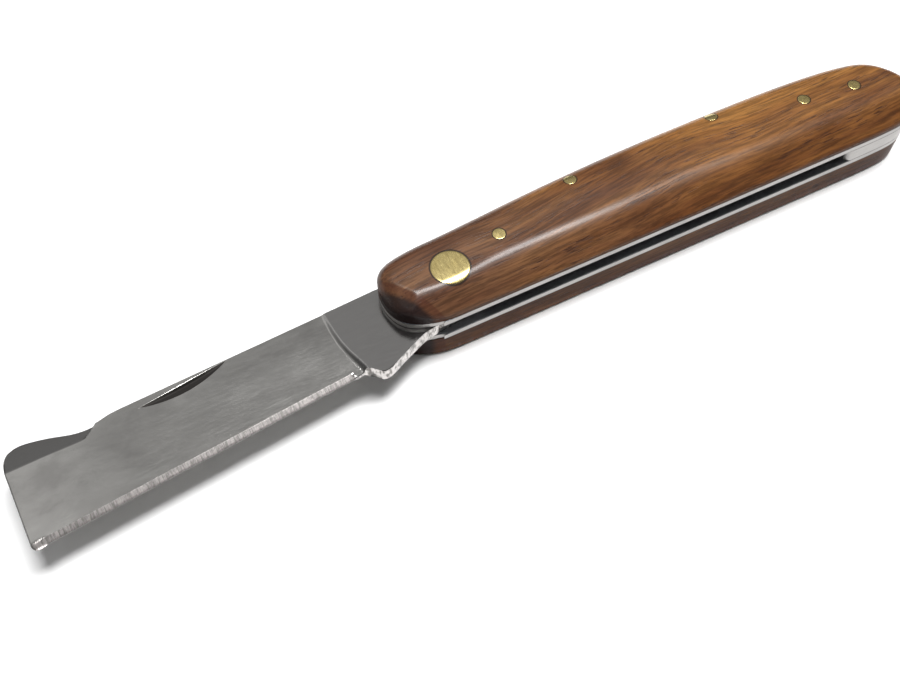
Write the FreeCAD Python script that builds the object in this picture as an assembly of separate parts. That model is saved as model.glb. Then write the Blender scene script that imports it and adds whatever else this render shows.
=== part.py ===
"""Folding grafting knife with a bark lifter on the back of the blade.

The knife lies open on its far side.  +X runs from the pivot to the butt, +Y from the belly (where the
blade folds in) to the back, +Z up through the stack.  The origin is the pivot axis on the rest plane.
All sizes are in millimetres.
"""
import FreeCAD, Part
import os
import math

# ---- driving dimensions -------------------------------------------------------------------------------
WOOD_T = 4.5            # thickness of each wooden scale
LINER_T = 1.1           # thickness of each steel liner
SLOT_T = 2.8            # gap between the liners, filled by the back spring
BLADE_T = 2.7           # thickness of the tang and ricasso
PIN_R = 1.125           # brass pins and rivets
PIVOT_R = 1.5           # steel axle of the blade
PIVOT_RUN = 0.04        # radial running clearance of the blade on its axle
HEAD_R = 3.28           # brass pivot heads
HEAD_T = 1.4
HEAD_SEAT = 0.6         # how far the axle enters each head
HOLE_GAP = 0.015        # radial gap of a driven pin in the wood

BELLY_Y = -6.25         # straight belly edge of the handle
WALL_H = 0.9            # height of the side wall left under the near scale's belly facet
FLAT_Y = 2.6            # back end of the flat top, where the crown starts
CROWN_R = 24.0          # radius of the crown towards the back
RIM_W = (2.6, 0.6)      # width of the rounded rim: back, nose and butt; belly
RIM_DROP = (2.4, 0.4)   # how far the rim falls over that width
RIM_STEEP = 0.9         # where along the rounding it runs out straight, so the edge stays a clean line
SOFT = 1.0              # how softly the belly facet runs into the flat top
SOFT_NOSE = 0.7         # the same for the bevel across the nose

TANG_FLAT = 4.86        # distance of the tang's three flats from the pivot
TANG_R = 2.2            # corner rounding of the tang
FOLD_ANGLE = 173.0      # how far the blade turns from open to closed
EDGE_ANGLE = 5.34       # angle of the cutting edge to the handle
EDGE_HEEL = (-19.5, -7.8)
GRIND_SPINE = 1.2       # half thickness of the ground blade at the spine
GRIND_EDGE = 0.5        # half thickness where the edge bevel starts
BLADE_W = 13.0          # width of the ground blade from edge to spine
BEVEL_W = 1.05          # width of the edge bevel
EDGE_HALF = 0.05        # half thickness of the cutting edge itself

Z_MID = WOOD_T + LINER_T + SLOT_T / 2.0
Z_LINER = Z_MID + SLOT_T / 2.0
Z_WOOD = Z_LINER + LINER_T
Z_TOP = Z_WOOD + WOOD_T

THROUGH_PINS = {"spring_pin_front": (25.9, 7.1), "spring_pin_middle": (55.0, 8.45), "butt_pin": (81.3, 2.8)}
RIVETS = {"front_rivet": (9.9, 2.25), "rear_rivet": (71.3, 4.0)}


# ---- small helpers ------------------------------------------------------------------------------------
def V(x, y, z=0.0):
    return FreeCAD.Vector(x, y, z)


def line(a, b):
    return Part.makeLine(V(*a), V(*b))


def chain(points):
    return [line(points[i], points[i + 1]) for i in range(len(points) - 1)]


def curve(points, start=None, end=None):
    """Smooth curve through a few points, with set directions at its two ends if they are given."""
    spline = Part.BSplineCurve()
    vectors = [V(*p) for p in points]
    if start and end:
        spline.interpolate(Points=vectors, InitialTangent=V(*start), FinalTangent=V(*end))
    else:
        spline.interpolate(Points=vectors)
    return spline.toShape()


def plate(edges, z0, z1):
    """Flat plate with the given closed outline, from z0 to z1."""
    face = Part.Face(Part.Wire(Part.__sortEdges__(edges)))
    face.translate(V(0, 0, z0))
    return face.extrude(V(0, 0, z1 - z0))


def rod(x, y, r, z0, z1):
    return Part.makeCylinder(r, z1 - z0, V(x, y, z0))


def mirrored(shape):
    """The same piece on the other side of the knife's middle plane."""
    return shape.mirror(V(0, 0, Z_MID), V(0, 0, 1))


def half_space(point, normal):
    """Large block whose base lies on the plane through a point, on the side the normal points to."""
    block = Part.makeBox(300.0, 300.0, 60.0, V(-150.0, -150.0, 0.0))
    block.Placement = FreeCAD.Placement(V(*point), FreeCAD.Rotation(V(0, 0, 1), V(*normal)))
    return block


def one_solid(shape):
    return max(shape.removeSplitter().Solids, key=lambda s: s.Volume)


def soft_min(a, b, k):
    """The smaller of two heights, with the corner between them rounded over k."""
    h = max(k - abs(a - b), 0.0) / k
    return min(a, b) - h * h * k / 4.0


# ---- handle outline, shared by the liners, the wood and the spring ---------------------------------------
BELLY_X = (1.0, 77.0)
HANDLE_CURVE = [
    (BELLY_X[1], BELLY_Y), (84.5, -6.1), (89.3, -5.0), (91.6, -2.2), (91.6, 1.2), (90.0, 4.6), (87.4, 7.5),
    (82.8, 9.15), (72.0, 10.35), (54.0, 10.65), (34.0, 10.2), (14.0, 8.75), (0.0, 7.5), (-6.5, 6.8),
    (-10.25, 5.1), (-11.4, 1.6), (-10.6, -2.4), (-7.3, -5.05), (-3.5, -6.08), (BELLY_X[0], BELLY_Y)]


def handle_edges():
    return [line((BELLY_X[0], BELLY_Y), (BELLY_X[1], BELLY_Y)), curve(HANDLE_CURVE, (1, 0), (1, 0))]


# ---- wooden scale -------------------------------------------------------------------------------------
def ridge_y(x):
    """The hand-made ridge between the belly facet and the flat top wanders a little along the handle."""
    nose = min(max(-x / 8.0, 0.0), 1.0)
    nose = nose * nose * (3.0 - 2.0 * nose)
    return (-2.05 - 0.3 * nose - math.exp(-((x + 0.5) / 6.0) ** 2)
            + 0.4 * math.exp(-((x - 44.0) / 9.0) ** 2))


def wood_height(x, y, gap, near_y, faceted):
    """Height of the wood above the liner.

    gap is the distance inside the outline (negative outside it) and near_y is the y of the nearest
    point of the outline.  The near scale is faceted: a steep belly facet and a nose bevel meet its flat
    top softly.  The far scale keeps its full side wall.  On both a crown falls to the back, and the rim
    falls away as a quarter ellipse, wide at the back, nose and butt, narrow along the belly.
    """
    top = WOOD_T
    if y > FLAT_Y:
        top = WOOD_T - (y - FLAT_Y) ** 2 / (2.0 * CROWN_R)
    if faceted:
        ridge = ridge_y(x)
        facet = WOOD_T - (ridge - y) * (WOOD_T - WALL_H) / (ridge - BELLY_Y)
        past_crest = -0.797 * (x + 8.25) - 0.604 * y
        bevel = WOOD_T - past_crest * math.tan(math.radians(28.0))
        top = soft_min(soft_min(top, facet, SOFT), bevel, SOFT_NOSE)
    blend = min(max((near_y + 4.5) / 5.5, 0.0), 1.0)
    blend = blend * blend * (3.0 - 2.0 * blend)
    width = RIM_W[1] + (RIM_W[0] - RIM_W[1]) * blend
    drop = RIM_DROP[1] + (RIM_DROP[0] - RIM_DROP[1]) * blend
    s = max(1.0 - gap / width, 0.0)
    if s <= RIM_STEEP:
        return top - drop * (1.0 - math.sqrt(1.0 - s * s))
    level = math.sqrt(1.0 - RIM_STEEP ** 2)
    return top - drop * (1.0 - level + (s - RIM_STEEP) * RIM_STEEP / level)


def grid_lines(low, high, coarse, fine, reach):
    """Grid positions from low to high: fine steps within reach of both ends, coarse steps between."""
    values = [low]
    while values[-1] < high - 1e-6:
        at = values[-1]
        step = fine if at < low + reach or at > high - reach - coarse else coarse
        values.append(min(at + step, high))
    return values


def scale_blank(faceted):
    """A scale before drilling, drawn on the near side."""
    rim = handle_edges()
    pts = rim[0].discretize(120) + rim[1].discretize(420)
    face = Part.Face(Part.Wire(Part.__sortEdges__(rim)))
    rows = []
    for x in grid_lines(-12.6, 94.0, 2.4, 0.9, 6.5):
        row = []
        for y in grid_lines(-7.6, 11.7, 0.9, 0.62, 5.0):
            near = min(pts, key=lambda p: (p.x - x) ** 2 + (p.y - y) ** 2)
            gap = math.hypot(near.x - x, near.y - y)
            if not face.isInside(V(x, y), 1e-6, True):
                gap = -gap
            row.append(V(x, y, Z_WOOD + wood_height(x, y, gap, near.y, faceted)))
        rows.append(row)
    surface = Part.BSplineSurface()
    surface.interpolate(rows)
    under = surface.toShape().extrude(V(0, 0, -25.0))
    return one_solid(plate(handle_edges(), Z_WOOD, Z_TOP + 1.0).common(under))


def drilled_scale(blank):
    scale = blank.cut(rod(0, 0, HEAD_R + HOLE_GAP, Z_TOP - HEAD_T, Z_TOP + 1.0))
    scale = scale.cut(rod(0, 0, PIVOT_R + HOLE_GAP, Z_WOOD - 1.0, Z_TOP))
    for x, y in list(THROUGH_PINS.values()) + list(RIVETS.values()):
        scale = scale.cut(rod(x, y, PIN_R + HOLE_GAP, Z_WOOD - 1.0, Z_TOP + 1.0))
    return one_solid(scale)


def liner():
    body = plate(handle_edges(), Z_LINER, Z_WOOD)
    body = body.cut(rod(0, 0, PIVOT_R, Z_LINER - 1.0, Z_WOOD + 1.0))
    for x, y in list(THROUGH_PINS.values()) + list(RIVETS.values()):
        body = body.cut(rod(x, y, PIN_R, Z_LINER - 1.0, Z_WOOD + 1.0))
    return one_solid(body)


# ---- pins, cut flush with the wood --------------------------------------------------------------------
def near_end(blank, x, y, r):
    """The part of a pin that stands in the near scale, cut off flush with the wood."""
    return rod(x, y, r, Z_WOOD, Z_TOP + 1.0).common(blank)


def through_pin(blank_near, blank_far, x, y):
    middle = rod(x, y, PIN_R, 2.0 * Z_MID - Z_WOOD, Z_WOOD)
    far = mirrored(near_end(blank_far, x, y, PIN_R))
    return one_solid(middle.fuse(near_end(blank_near, x, y, PIN_R)).fuse(far))


def rivet(blank, x, y):
    return one_solid(rod(x, y, PIN_R, Z_LINER, Z_WOOD).fuse(near_end(blank, x, y, PIN_R)))


def pivot_head(blank=None):
    """The near head is filed down with the ridge beside it; the far head is flat and carries the knife."""
    head = rod(0, 0, HEAD_R, Z_TOP - HEAD_T, Z_TOP)
    if blank:
        head = rod(0, 0, HEAD_R, Z_TOP - HEAD_T, Z_TOP + 1.0).common(blank)
    return one_solid(head.cut(rod(0, 0, PIVOT_R, Z_TOP - HEAD_T - 1.0, Z_TOP - HEAD_T + HEAD_SEAT)))


def pivot_pin():
    low = 2.0 * Z_MID - (Z_TOP - HEAD_T + HEAD_SEAT)
    return rod(0, 0, PIVOT_R, low, 2.0 * Z_MID - low)


# ---- back spring --------------------------------------------------------------------------------------
def back_spring():
    """Spring and butt block in one: it fills the back of the slot and the whole butt."""
    z0 = 2.0 * Z_MID - Z_LINER
    body = plate(handle_edges(), z0, Z_LINER)
    rest_y = TANG_FLAT + 0.02
    inner = [line((-30.0, -20.0), (-30.0, 9.6)), line((-30.0, 9.6), (-8.6, 9.6)),
             curve([(-8.6, 9.6), (-7.9, 6.3), (-6.3, rest_y)], (0.1, -1), (1, 0)),
             line((-6.3, rest_y), (4.6, rest_y)),
             curve([(4.6, rest_y), (7.6, 6.4), (12.5, 7.4), (18.2, 7.35), (22.6, 5.8), (25.7, 5.5),
                    (29.6, 5.9), (38.0, 6.9), (54.0, 6.95), (68.0, 6.9), (75.8, 5.9), (77.6, 3.0)],
                   (1, 0), (0, -1)),
             line((77.6, 3.0), (75.8, -4.9)),
             curve([(75.8, -4.9), (76.1, -5.8), (77.2, -6.4)], (-0.2, -1), (1, -0.3)),
             line((77.2, -6.4), (77.2, -20.0)), line((77.2, -20.0), (-30.0, -20.0))]
    body = body.cut(plate(inner, z0 - 1.0, Z_LINER + 1.0))
    for x, y in THROUGH_PINS.values():
        body = body.cut(rod(x, y, PIN_R, z0 - 1.0, Z_LINER + 1.0))
    return one_solid(body)


# ---- blade --------------------------------------------------------------------------------------------
def turned(x, y, angle):
    c = math.cos(math.radians(angle))
    s = math.sin(math.radians(angle))
    return (c * x - s * y, s * x + c * y)


def corner(before, at, after, r):
    """Trim two straight lines that meet at a corner and give the arc between them."""
    a = V(*before).sub(V(*at)).normalize()
    b = V(*after).sub(V(*at)).normalize()
    half = a.getAngle(b) / 2.0
    reach = r / math.tan(half)
    centre = V(*at).add(a.add(b).normalize().multiply(r / math.sin(half)))
    p = V(*at).add(FreeCAD.Vector(a).multiply(reach))
    q = V(*at).add(FreeCAD.Vector(b).multiply(reach))
    m = centre.add(V(*at).sub(centre).normalize().multiply(r))
    return p, Part.Arc(p, m, q).toShape(), q


def blade_edges():
    """Outline of the open blade, from the back flat round the tang, the kick, the edge and the tip."""
    closed = -FOLD_ANGLE
    back = (-8.4, TANG_FLAT)
    end_top = (TANG_FLAT, TANG_FLAT)
    end_low = (TANG_FLAT, -TANG_FLAT * (1.0 - math.sin(math.radians(180.0 - FOLD_ANGLE)))
               / math.cos(math.radians(180.0 - FOLD_ANGLE)))
    belly = turned(6.6, TANG_FLAT, closed)
    a0, arc0, a1 = corner(back, end_top, end_low, TANG_R)
    b0, arc1, b1 = corner(end_top, end_low, belly, TANG_R)
    heel = EDGE_HEEL
    run = 50.0
    lean = math.radians(EDGE_ANGLE)
    tip = (heel[0] - run * math.cos(lean), heel[1] - run * math.sin(lean))
    edges = [Part.makeLine(V(*back), a0), arc0, Part.makeLine(a1, b0), arc1, Part.makeLine(b1, V(*belly))]
    edges.append(curve([belly, (-9.2, -6.7), (-12.9, -8.35), (-14.7, -9.15), (-15.9, -9.25), (-16.9, -8.55),
                        (-18.3, -7.55), heel], (belly[0] - b1.x, belly[1] - b1.y), (-1, -0.12)))
    edges.append(line(heel, tip))
    edges.append(curve([tip, (-71.25, -12.78), (-71.85, -12.0)], (-1, -0.12), (-0.1, 1)))
    edges.append(line((-71.85, -12.0), (-72.2, -1.5)))
    edges.append(curve([(-72.2, -1.5), (-72.25, 1.3), (-71.75, 3.2), (-70.4, 4.15), (-67.6, 4.1),
                        (-64.4, 3.3), (-61.8, 2.4), (-59.8, 2.12), (-58.0, 2.27), (-56.2, 2.7),
                        (-54.0, 2.95)], (-0.06, 1), (1, 0.05)))
    edges += chain([(-54.0, 2.95), (-11.0, 5.1), back])
    return edges


def grind_cutter():
    """What the flat grind and the edge bevel take off the near side of the blade."""
    far = BLADE_W + 8.0
    rise = (GRIND_SPINE - GRIND_EDGE) / (BLADE_W - BEVEL_W)
    section = [(-3.0, EDGE_HALF - 3.0 * (GRIND_EDGE - EDGE_HALF) / BEVEL_W), (BEVEL_W, GRIND_EDGE),
               (far, GRIND_EDGE + rise * (far - BEVEL_W)), (far, 6.0), (-3.0, 6.0)]
    ring = [V(0, v, z) for v, z in section + section[:1]]
    block = Part.Face(Part.makePolygon(ring)).extrude(V(-80.0, 0, 0))
    block.translate(V(12.0, 0, 0))
    block.rotate(V(0, 0, 0), V(0, 0, 1), EDGE_ANGLE)
    block.translate(V(EDGE_HEEL[0], EDGE_HEEL[1], Z_MID))
    plunge = [curve([(-20.4, 9.0), (-20.4, 3.4), (-20.1, -1.4), (-19.3, -4.2), (-18.7, -6.2), (-18.4, -9.0)]),
              line((-18.4, -9.0), (-18.4, -20.0)), line((-18.4, -20.0), (-90.0, -20.0)),
              line((-90.0, -20.0), (-90.0, 9.0)), line((-90.0, 9.0), (-20.4, 9.0))]
    return block.common(plate(plunge, Z_MID - 5.0, Z_MID + 10.0))


def lifter_cutter():
    """What the bark lifter's bevel takes off the near side, above the inner line."""
    reach = chain([(-57.7, 6.0), (-57.7, 9.0), (-80.0, 9.0), (-80.0, 0.1), (-72.3, 0.1), (-67.0, 0.65),
                   (-60.4, 0.3)])
    reach.append(curve([(-60.4, 0.3), (-58.9, 0.75), (-58.1, 2.2), (-57.7, 6.0)], (1, -0.03), (0.1, 1)))
    slope = math.radians(15.5)
    above = half_space((-66.0, 4.1, Z_MID + 0.1), (0.0, math.sin(slope), math.cos(slope)))
    return plate(reach, Z_MID - 0.2, Z_MID + 5.0).common(above)


def nail_nick():
    """Crescent for the thumbnail: a thin cone that touches the near side of the blade along a chord."""
    length = 14.6
    depth = 0.5
    width = 1.35
    r = length ** 2 / (8.0 * depth)
    cone = Part.makeCone(r, r - 4.0 * depth / width, 4.0)
    cone.rotate(V(0, 0, 0), V(1, 0, 0), 90.0)
    cone.rotate(V(0, 0, 0), V(0, 0, 1), 7.5)
    face_z = Z_MID + GRIND_EDGE + (GRIND_SPINE - GRIND_EDGE) * 0.87
    cone.translate(V(-44.2, 2.55, face_z + r - depth))
    return cone


def blade():
    z0 = Z_MID - BLADE_T / 2.0
    body = plate(blade_edges(), z0, z0 + BLADE_T)
    for cutter in (grind_cutter(), lifter_cutter()):
        body = body.cut(cutter).cut(mirrored(cutter))
    body = body.cut(nail_nick())
    return one_solid(body.cut(rod(0, 0, PIVOT_R + PIVOT_RUN, z0 - 1.0, z0 + BLADE_T + 1.0)))


# ---- all nodes ----------------------------------------------------------------------------------------
def main():
    os.makedirs("parts", exist_ok=True)
    blank_near = scale_blank(True)
    blank_far = scale_blank(False)
    plate_near = liner()
    nodes = {
        "wood_scale_near": drilled_scale(blank_near), "wood_scale_far": mirrored(drilled_scale(blank_far)),
        "liner_near": plate_near, "liner_far": mirrored(plate_near),
        "back_spring": back_spring(), "blade": blade(), "pivot_pin": pivot_pin(),
        "pivot_head_near": pivot_head(blank_near), "pivot_head_far": mirrored(pivot_head())}
    for name, (x, y) in THROUGH_PINS.items():
        nodes[name] = through_pin(blank_near, blank_far, x, y)
    for name, (x, y) in RIVETS.items():
        nodes[name + "_near"] = rivet(blank_near, x, y)
        nodes[name + "_far"] = mirrored(rivet(blank_far, x, y))
    for name, shape in nodes.items():
        box = shape.BoundBox
        print("%-20s valid %s solids %d faces %3d volume %8.1f  x %.2f..%.2f  y %.2f..%.2f  z %.2f..%.2f" % (
            name, shape.isValid(), len(shape.Solids), len(shape.Faces), shape.Volume, box.XMin, box.XMax,
            box.YMin, box.YMax, box.ZMin, box.ZMax))
        shape.exportStep("parts/%s.step" % name)


main()
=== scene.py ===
# %% [markdown]
# # Folding grafting knife
#
# The knife lies open on its far side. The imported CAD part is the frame: its handle and its blade keep their
# places and their joint. This script keeps the CAD pieces whose shape is already right (the liners, the back
# spring and the axle) and gives them steel. The wooden scales, the blade and the brass ends are built again
# as smooth surfaces, because that is where the eye looks: soft ridges, a ground flat, a coarse edge bevel,
# and pins filed flush.
#
# Work is done in millimetres and divided by 1000 at the very end, when a mesh is made.

# %% Load the frame
import math
import bpy
import numpy as np
from mathutils import Matrix, Vector


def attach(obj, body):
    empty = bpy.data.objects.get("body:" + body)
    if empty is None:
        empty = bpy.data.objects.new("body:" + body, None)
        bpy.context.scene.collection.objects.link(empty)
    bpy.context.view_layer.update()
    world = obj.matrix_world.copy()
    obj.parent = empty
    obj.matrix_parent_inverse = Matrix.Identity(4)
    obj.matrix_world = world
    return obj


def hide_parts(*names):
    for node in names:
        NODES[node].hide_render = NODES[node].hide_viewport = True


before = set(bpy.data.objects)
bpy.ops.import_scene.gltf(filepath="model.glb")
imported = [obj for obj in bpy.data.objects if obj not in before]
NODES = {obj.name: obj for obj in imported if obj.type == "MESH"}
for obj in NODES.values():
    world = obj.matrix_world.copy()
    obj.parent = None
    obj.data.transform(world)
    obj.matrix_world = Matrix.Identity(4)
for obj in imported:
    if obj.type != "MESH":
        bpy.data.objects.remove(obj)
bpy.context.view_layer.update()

print("nodes", len(NODES))

# %% [markdown]
# ## The shape in numbers
#
# The stack is wood, liner, slot, liner, wood. The outline and the stack are the same on both sides of the
# middle plane, so a height above the liner serves both scales. Only the shaping of the wood differs: the near
# scale is filed to a ridge, and the far scale keeps its full side wall.

# %% Driving dimensions
WOOD_T, LINER_T, SLOT_T, BLADE_T = 4.5, 1.1, 2.8, 2.7
Z_MID = WOOD_T + LINER_T + SLOT_T / 2
Z_WOOD = Z_MID + SLOT_T / 2 + LINER_T
BELLY_Y, WALL_H, FLAT_Y, CROWN_R = -6.25, 0.9, 2.6, 24.0
PIN_R, HEAD_R, HEAD_T = 1.125, 3.28, 1.0
PINS = {"spring_pin_front": (25.9, 7.1), "spring_pin_middle": (55.0, 8.45), "butt_pin": (81.3, 2.8)}
RIVETS = {"front_rivet": (9.9, 2.25), "rear_rivet": (71.3, 4.0)}
NICK_X, NICK_Y, NICK_HALF, NICK_TILT = -44.2, 2.55, 7.3, math.radians(7.5)
print("stack", 2 * Z_MID, "mm thick")


# %% Small tools
def smooth(a, b, x):
    """0 below a, 1 above b, and a smooth step between."""
    t = np.clip((x - a) / (b - a), 0, 1)
    return t * t * (3 - 2 * t)


def soft_min(a, b, k):
    """The smaller of two heights, with the corner between them rounded over k."""
    h = np.maximum(k - np.abs(a - b), 0) / k
    return np.minimum(a, b) - h * h * k / 4


def spline(points, start, end, n):
    """Cubic curve through a few points at chord-length spacing, with unit directions at both ends."""
    p = np.array(points, float)
    t = np.concatenate([[0], np.cumsum(np.hypot(*np.diff(p, axis=0).T))])
    h = np.diff(t)
    count = len(p)
    a = np.zeros((count, count))
    r = np.zeros((count, 2))
    a[0, 0] = a[-1, -1] = 1
    r[0] = np.array(start, float) / np.hypot(*start)
    r[-1] = np.array(end, float) / np.hypot(*end)
    for i in range(1, count - 1):
        a[i, i - 1], a[i, i], a[i, i + 1] = h[i], 2 * (h[i - 1] + h[i]), h[i - 1]
        r[i] = 3 * (h[i] * (p[i] - p[i - 1]) / h[i - 1] + h[i - 1] * (p[i + 1] - p[i]) / h[i])
    m = np.linalg.solve(a, r)
    s = np.linspace(0, t[-1], n)
    k = np.clip(np.searchsorted(t, s, side="right") - 1, 0, count - 2)
    w = ((s - t[k]) / h[k])[:, None]
    hk = h[k][:, None]
    return ((2 * w ** 3 - 3 * w ** 2 + 1) * p[k] + (w ** 3 - 2 * w ** 2 + w) * hk * m[k]
            + (3 * w ** 2 - 2 * w ** 3) * p[k + 1] + (w ** 3 - w ** 2) * hk * m[k + 1])


def make(name, verts, faces, material, body, stands_for, marks=None, sharp=35):
    """A mesh object from millimetre vertices, riding on a body and standing for CAD nodes."""
    mesh = bpy.data.meshes.new(name)
    mesh.from_pydata((np.asarray(verts) / 1000).tolist(), [], [list(map(int, f)) for f in faces])
    mesh.validate()
    for key, values in (marks or {}).items():
        layer = mesh.attributes.new(key, "FLOAT", "POINT")
        layer.data.foreach_set("value", np.asarray(values, np.float32))
    mesh.shade_smooth()
    mesh.set_sharp_from_angle(angle=math.radians(sharp))
    mesh.materials.append(material)
    obj = bpy.data.objects.new(name, mesh)
    bpy.context.scene.collection.objects.link(obj)
    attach(obj, body)
    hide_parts(*stands_for)
    print(name, len(mesh.vertices), "points,", len(mesh.polygons), "faces")
    return obj


# %% Handle outline
HANDLE = [(77.0, BELLY_Y), (84.5, -6.1), (89.3, -5.0), (91.6, -2.2), (91.6, 1.2), (90.0, 4.6), (87.4, 7.5),
          (82.8, 9.15), (72.0, 10.35), (54.0, 10.65), (34.0, 10.2), (14.0, 8.75), (0.0, 7.5), (-6.5, 6.8),
          (-10.25, 5.1), (-11.4, 1.6), (-10.6, -2.4), (-7.3, -5.05), (-3.5, -6.08), (1.0, BELLY_Y)]
round_part = spline(HANDLE, (1, 0), (1, 0), 2400)
belly_part = np.column_stack([np.linspace(1.0, 77.0, 400)[1:-1], np.full(398, BELLY_Y)])
RIM = np.vstack([round_part, belly_part])
tail = int(np.argmax(RIM[:, 0]))
nose = int(np.argmin(RIM[:, 0]))
upper = RIM[tail:nose + 1][::-1]
lower = np.vstack([RIM[nose:], RIM[:tail + 1]])
liner_pts = np.array([v.co[:2] for v in NODES["liner_near"].data.vertices]) * 1000
outer = liner_pts[np.abs(liner_pts[:, 0] - 40) > 44]
miss = np.array([np.hypot(*(RIM - q).T).min() for q in outer])
print("outline against the CAD liner, mm:", round(float(miss[miss < 1].max()), 3))

# %% [markdown]
# ## Materials
#
# One walnut, two steels and a brass, all procedural and in object coordinates. Object coordinates here are
# the metres of the real knife, so every scale below is a number of features per metre.

# %% Node tools
def tree_of(name):
    """A new material with an empty node tree."""
    material = bpy.data.materials.new(name)
    material.use_nodes = True
    tree = material.node_tree
    tree.nodes.clear()
    return material, tree


def add(tree, kind, inputs=None, **props):
    """One node with its properties and inputs; an input is a constant or another node's output socket."""
    node = tree.nodes.new(kind)
    for key, value in props.items():
        setattr(node, key, value)
    for key, value in (inputs or {}).items():
        if isinstance(value, bpy.types.NodeSocket):
            tree.links.new(value, node.inputs[key])
        else:
            node.inputs[key].default_value = value
    return node


def math_node(tree, op, a, b=0.0):
    return add(tree, "ShaderNodeMath", {0: a, 1: b}, operation=op).outputs[0]


def plus(tree, a, b):
    return math_node(tree, "ADD", a, b)


def minus(tree, a, b):
    return math_node(tree, "SUBTRACT", a, b)


def times(tree, a, b):
    return math_node(tree, "MULTIPLY", a, b)


def vector_math(tree, op, a, b, result="Vector"):
    return add(tree, "ShaderNodeVectorMath", {0: a, 1: b}, operation=op).outputs[result]


def part_of(tree, vector, index):
    """One coordinate of a vector."""
    return add(tree, "ShaderNodeSeparateXYZ", {0: vector}).outputs[index]


def normal_part(tree, index):
    """One coordinate of the surface's own normal."""
    return part_of(tree, add(tree, "ShaderNodeTexCoord").outputs["Normal"], index)


def ramp(tree, value, stops, mode="EASE"):
    """A colour ramp; stops are (position, grey or colour)."""
    node = add(tree, "ShaderNodeValToRGB", {0: value})
    node.color_ramp.interpolation = mode
    elements = node.color_ramp.elements
    while len(elements) < len(stops):
        elements.new(0.5)
    for element, (at, colour) in zip(elements, stops):
        element.position = at
        element.color = (*colour, 1) if isinstance(colour, tuple) else (colour, colour, colour, 1)
    return node.outputs[0]


def mix(tree, fac, a, b, blend="MIX"):
    node = add(tree, "ShaderNodeMix", {0: fac}, data_type="RGBA", blend_type=blend)
    for index, value in ((6, a), (7, b)):
        if isinstance(value, bpy.types.NodeSocket):
            tree.links.new(value, node.inputs[index])
        else:
            node.inputs[index].default_value = (*value, 1) if len(value) == 3 else value
    return node.outputs[2]


def placed(tree, scale, turn=0.0, shift=(0, 0, 0)):
    """Object coordinates, turned about Z and stretched."""
    coords = add(tree, "ShaderNodeTexCoord").outputs["Object"]
    return add(tree, "ShaderNodeMapping", {0: coords, 1: shift, 2: (0, 0, turn), 3: scale}).outputs[0]


def stretched(tree, vector, scale):
    return add(tree, "ShaderNodeMapping", {0: vector, 3: scale}).outputs[0]


def noise(tree, vector, scale, detail, rough, distortion=0.0):
    return add(tree, "ShaderNodeTexNoise", {"Vector": vector, "Scale": scale, "Detail": detail,
                                            "Roughness": rough, "Distortion": distortion}).outputs[0]


def attribute(tree, name):
    return add(tree, "ShaderNodeAttribute", attribute_name=name).outputs["Fac"]


def bump(tree, height, strength, distance, normal=None):
    inputs = {"Height": height, "Strength": strength, "Distance": distance}
    if normal is not None:
        inputs["Normal"] = normal
    return add(tree, "ShaderNodeBump", inputs).outputs[0]


def finish_material(tree, **inputs):
    """The surface shader of a material; constants go straight onto its sockets."""
    shader = add(tree, "ShaderNodeBsdfPrincipled", inputs)
    out = add(tree, "ShaderNodeOutputMaterial")
    tree.links.new(shader.outputs[0], out.inputs[0])


# %% [markdown]
# ### Grinding marks, shared by every steel
#
# A belt leaves long, thin, uneven lines. A group gives the lines as a value (to break up roughness) and as
# a normal. The direction is set by stretching the coordinates before they come in.

# %% Group: grinding marks
def grinding_group():
    group = bpy.data.node_groups.new("grinding_marks", "ShaderNodeTree")
    for name, kind in (("Vector", "NodeSocketVector"), ("Strength", "NodeSocketFloat")):
        group.interface.new_socket(name, in_out="INPUT", socket_type=kind)
    for name, kind in (("Value", "NodeSocketFloat"), ("Normal", "NodeSocketVector")):
        group.interface.new_socket(name, in_out="OUTPUT", socket_type=kind)
    gin = group.nodes.new("NodeGroupInput")
    gout = group.nodes.new("NodeGroupOutput")
    fine = noise(group, gin.outputs["Vector"], 1.0, 3.0, 0.7)
    coarse = noise(group, gin.outputs["Vector"], 0.31, 2.0, 0.5)
    both = plus(group, times(group, fine, 0.6), times(group, coarse, 0.4))
    lines = ramp(group, both, [(0.3, 0.0), (0.7, 1.0)])
    normal = bump(group, lines, gin.outputs["Strength"], 0.00005)
    group.links.new(lines, gout.inputs["Value"])
    group.links.new(normal, gout.inputs["Normal"])
    return group


GRINDING = grinding_group()


def grinding(tree, vector, strength):
    node = add(tree, "ShaderNodeGroup")
    node.node_tree = GRINDING
    tree.links.new(vector, node.inputs["Vector"])
    node.inputs["Strength"].default_value = strength
    return node.outputs["Value"], node.outputs["Normal"]


# %% [markdown]
# ### Walnut under satin varnish
#
# Walnut is open-pored: short dark dashes run with the grain over slow bands of orange, brown and umber. The
# varnish fills most of a pore, so the bump is small and the coat is smooth. Each brass pin has a thin dark
# ring where dirt and varnish settle between the metal and the wood.

# %% Dark rings round the brass
def pin_rings(tree):
    """1 in the thin joint between a brass piece and the wood, by distance from each pin's axis."""
    flat = stretched(tree, placed(tree, (1000, 1000, 1000)), (1, 1, 0))
    rounds = [(0.0, 0.0, HEAD_R)] + [(x, y, PIN_R) for x, y in [*PINS.values(), *RIVETS.values()]]
    nearest = None
    for x, y, r in rounds:
        gap = minus(tree, vector_math(tree, "DISTANCE", flat, (x, y, 0.0), "Value"), r)
        nearest = gap if nearest is None else math_node(tree, "MINIMUM", nearest, gap)
    return ramp(tree, nearest, [(0.05, 1.0), (0.17, 0.0)])


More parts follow.
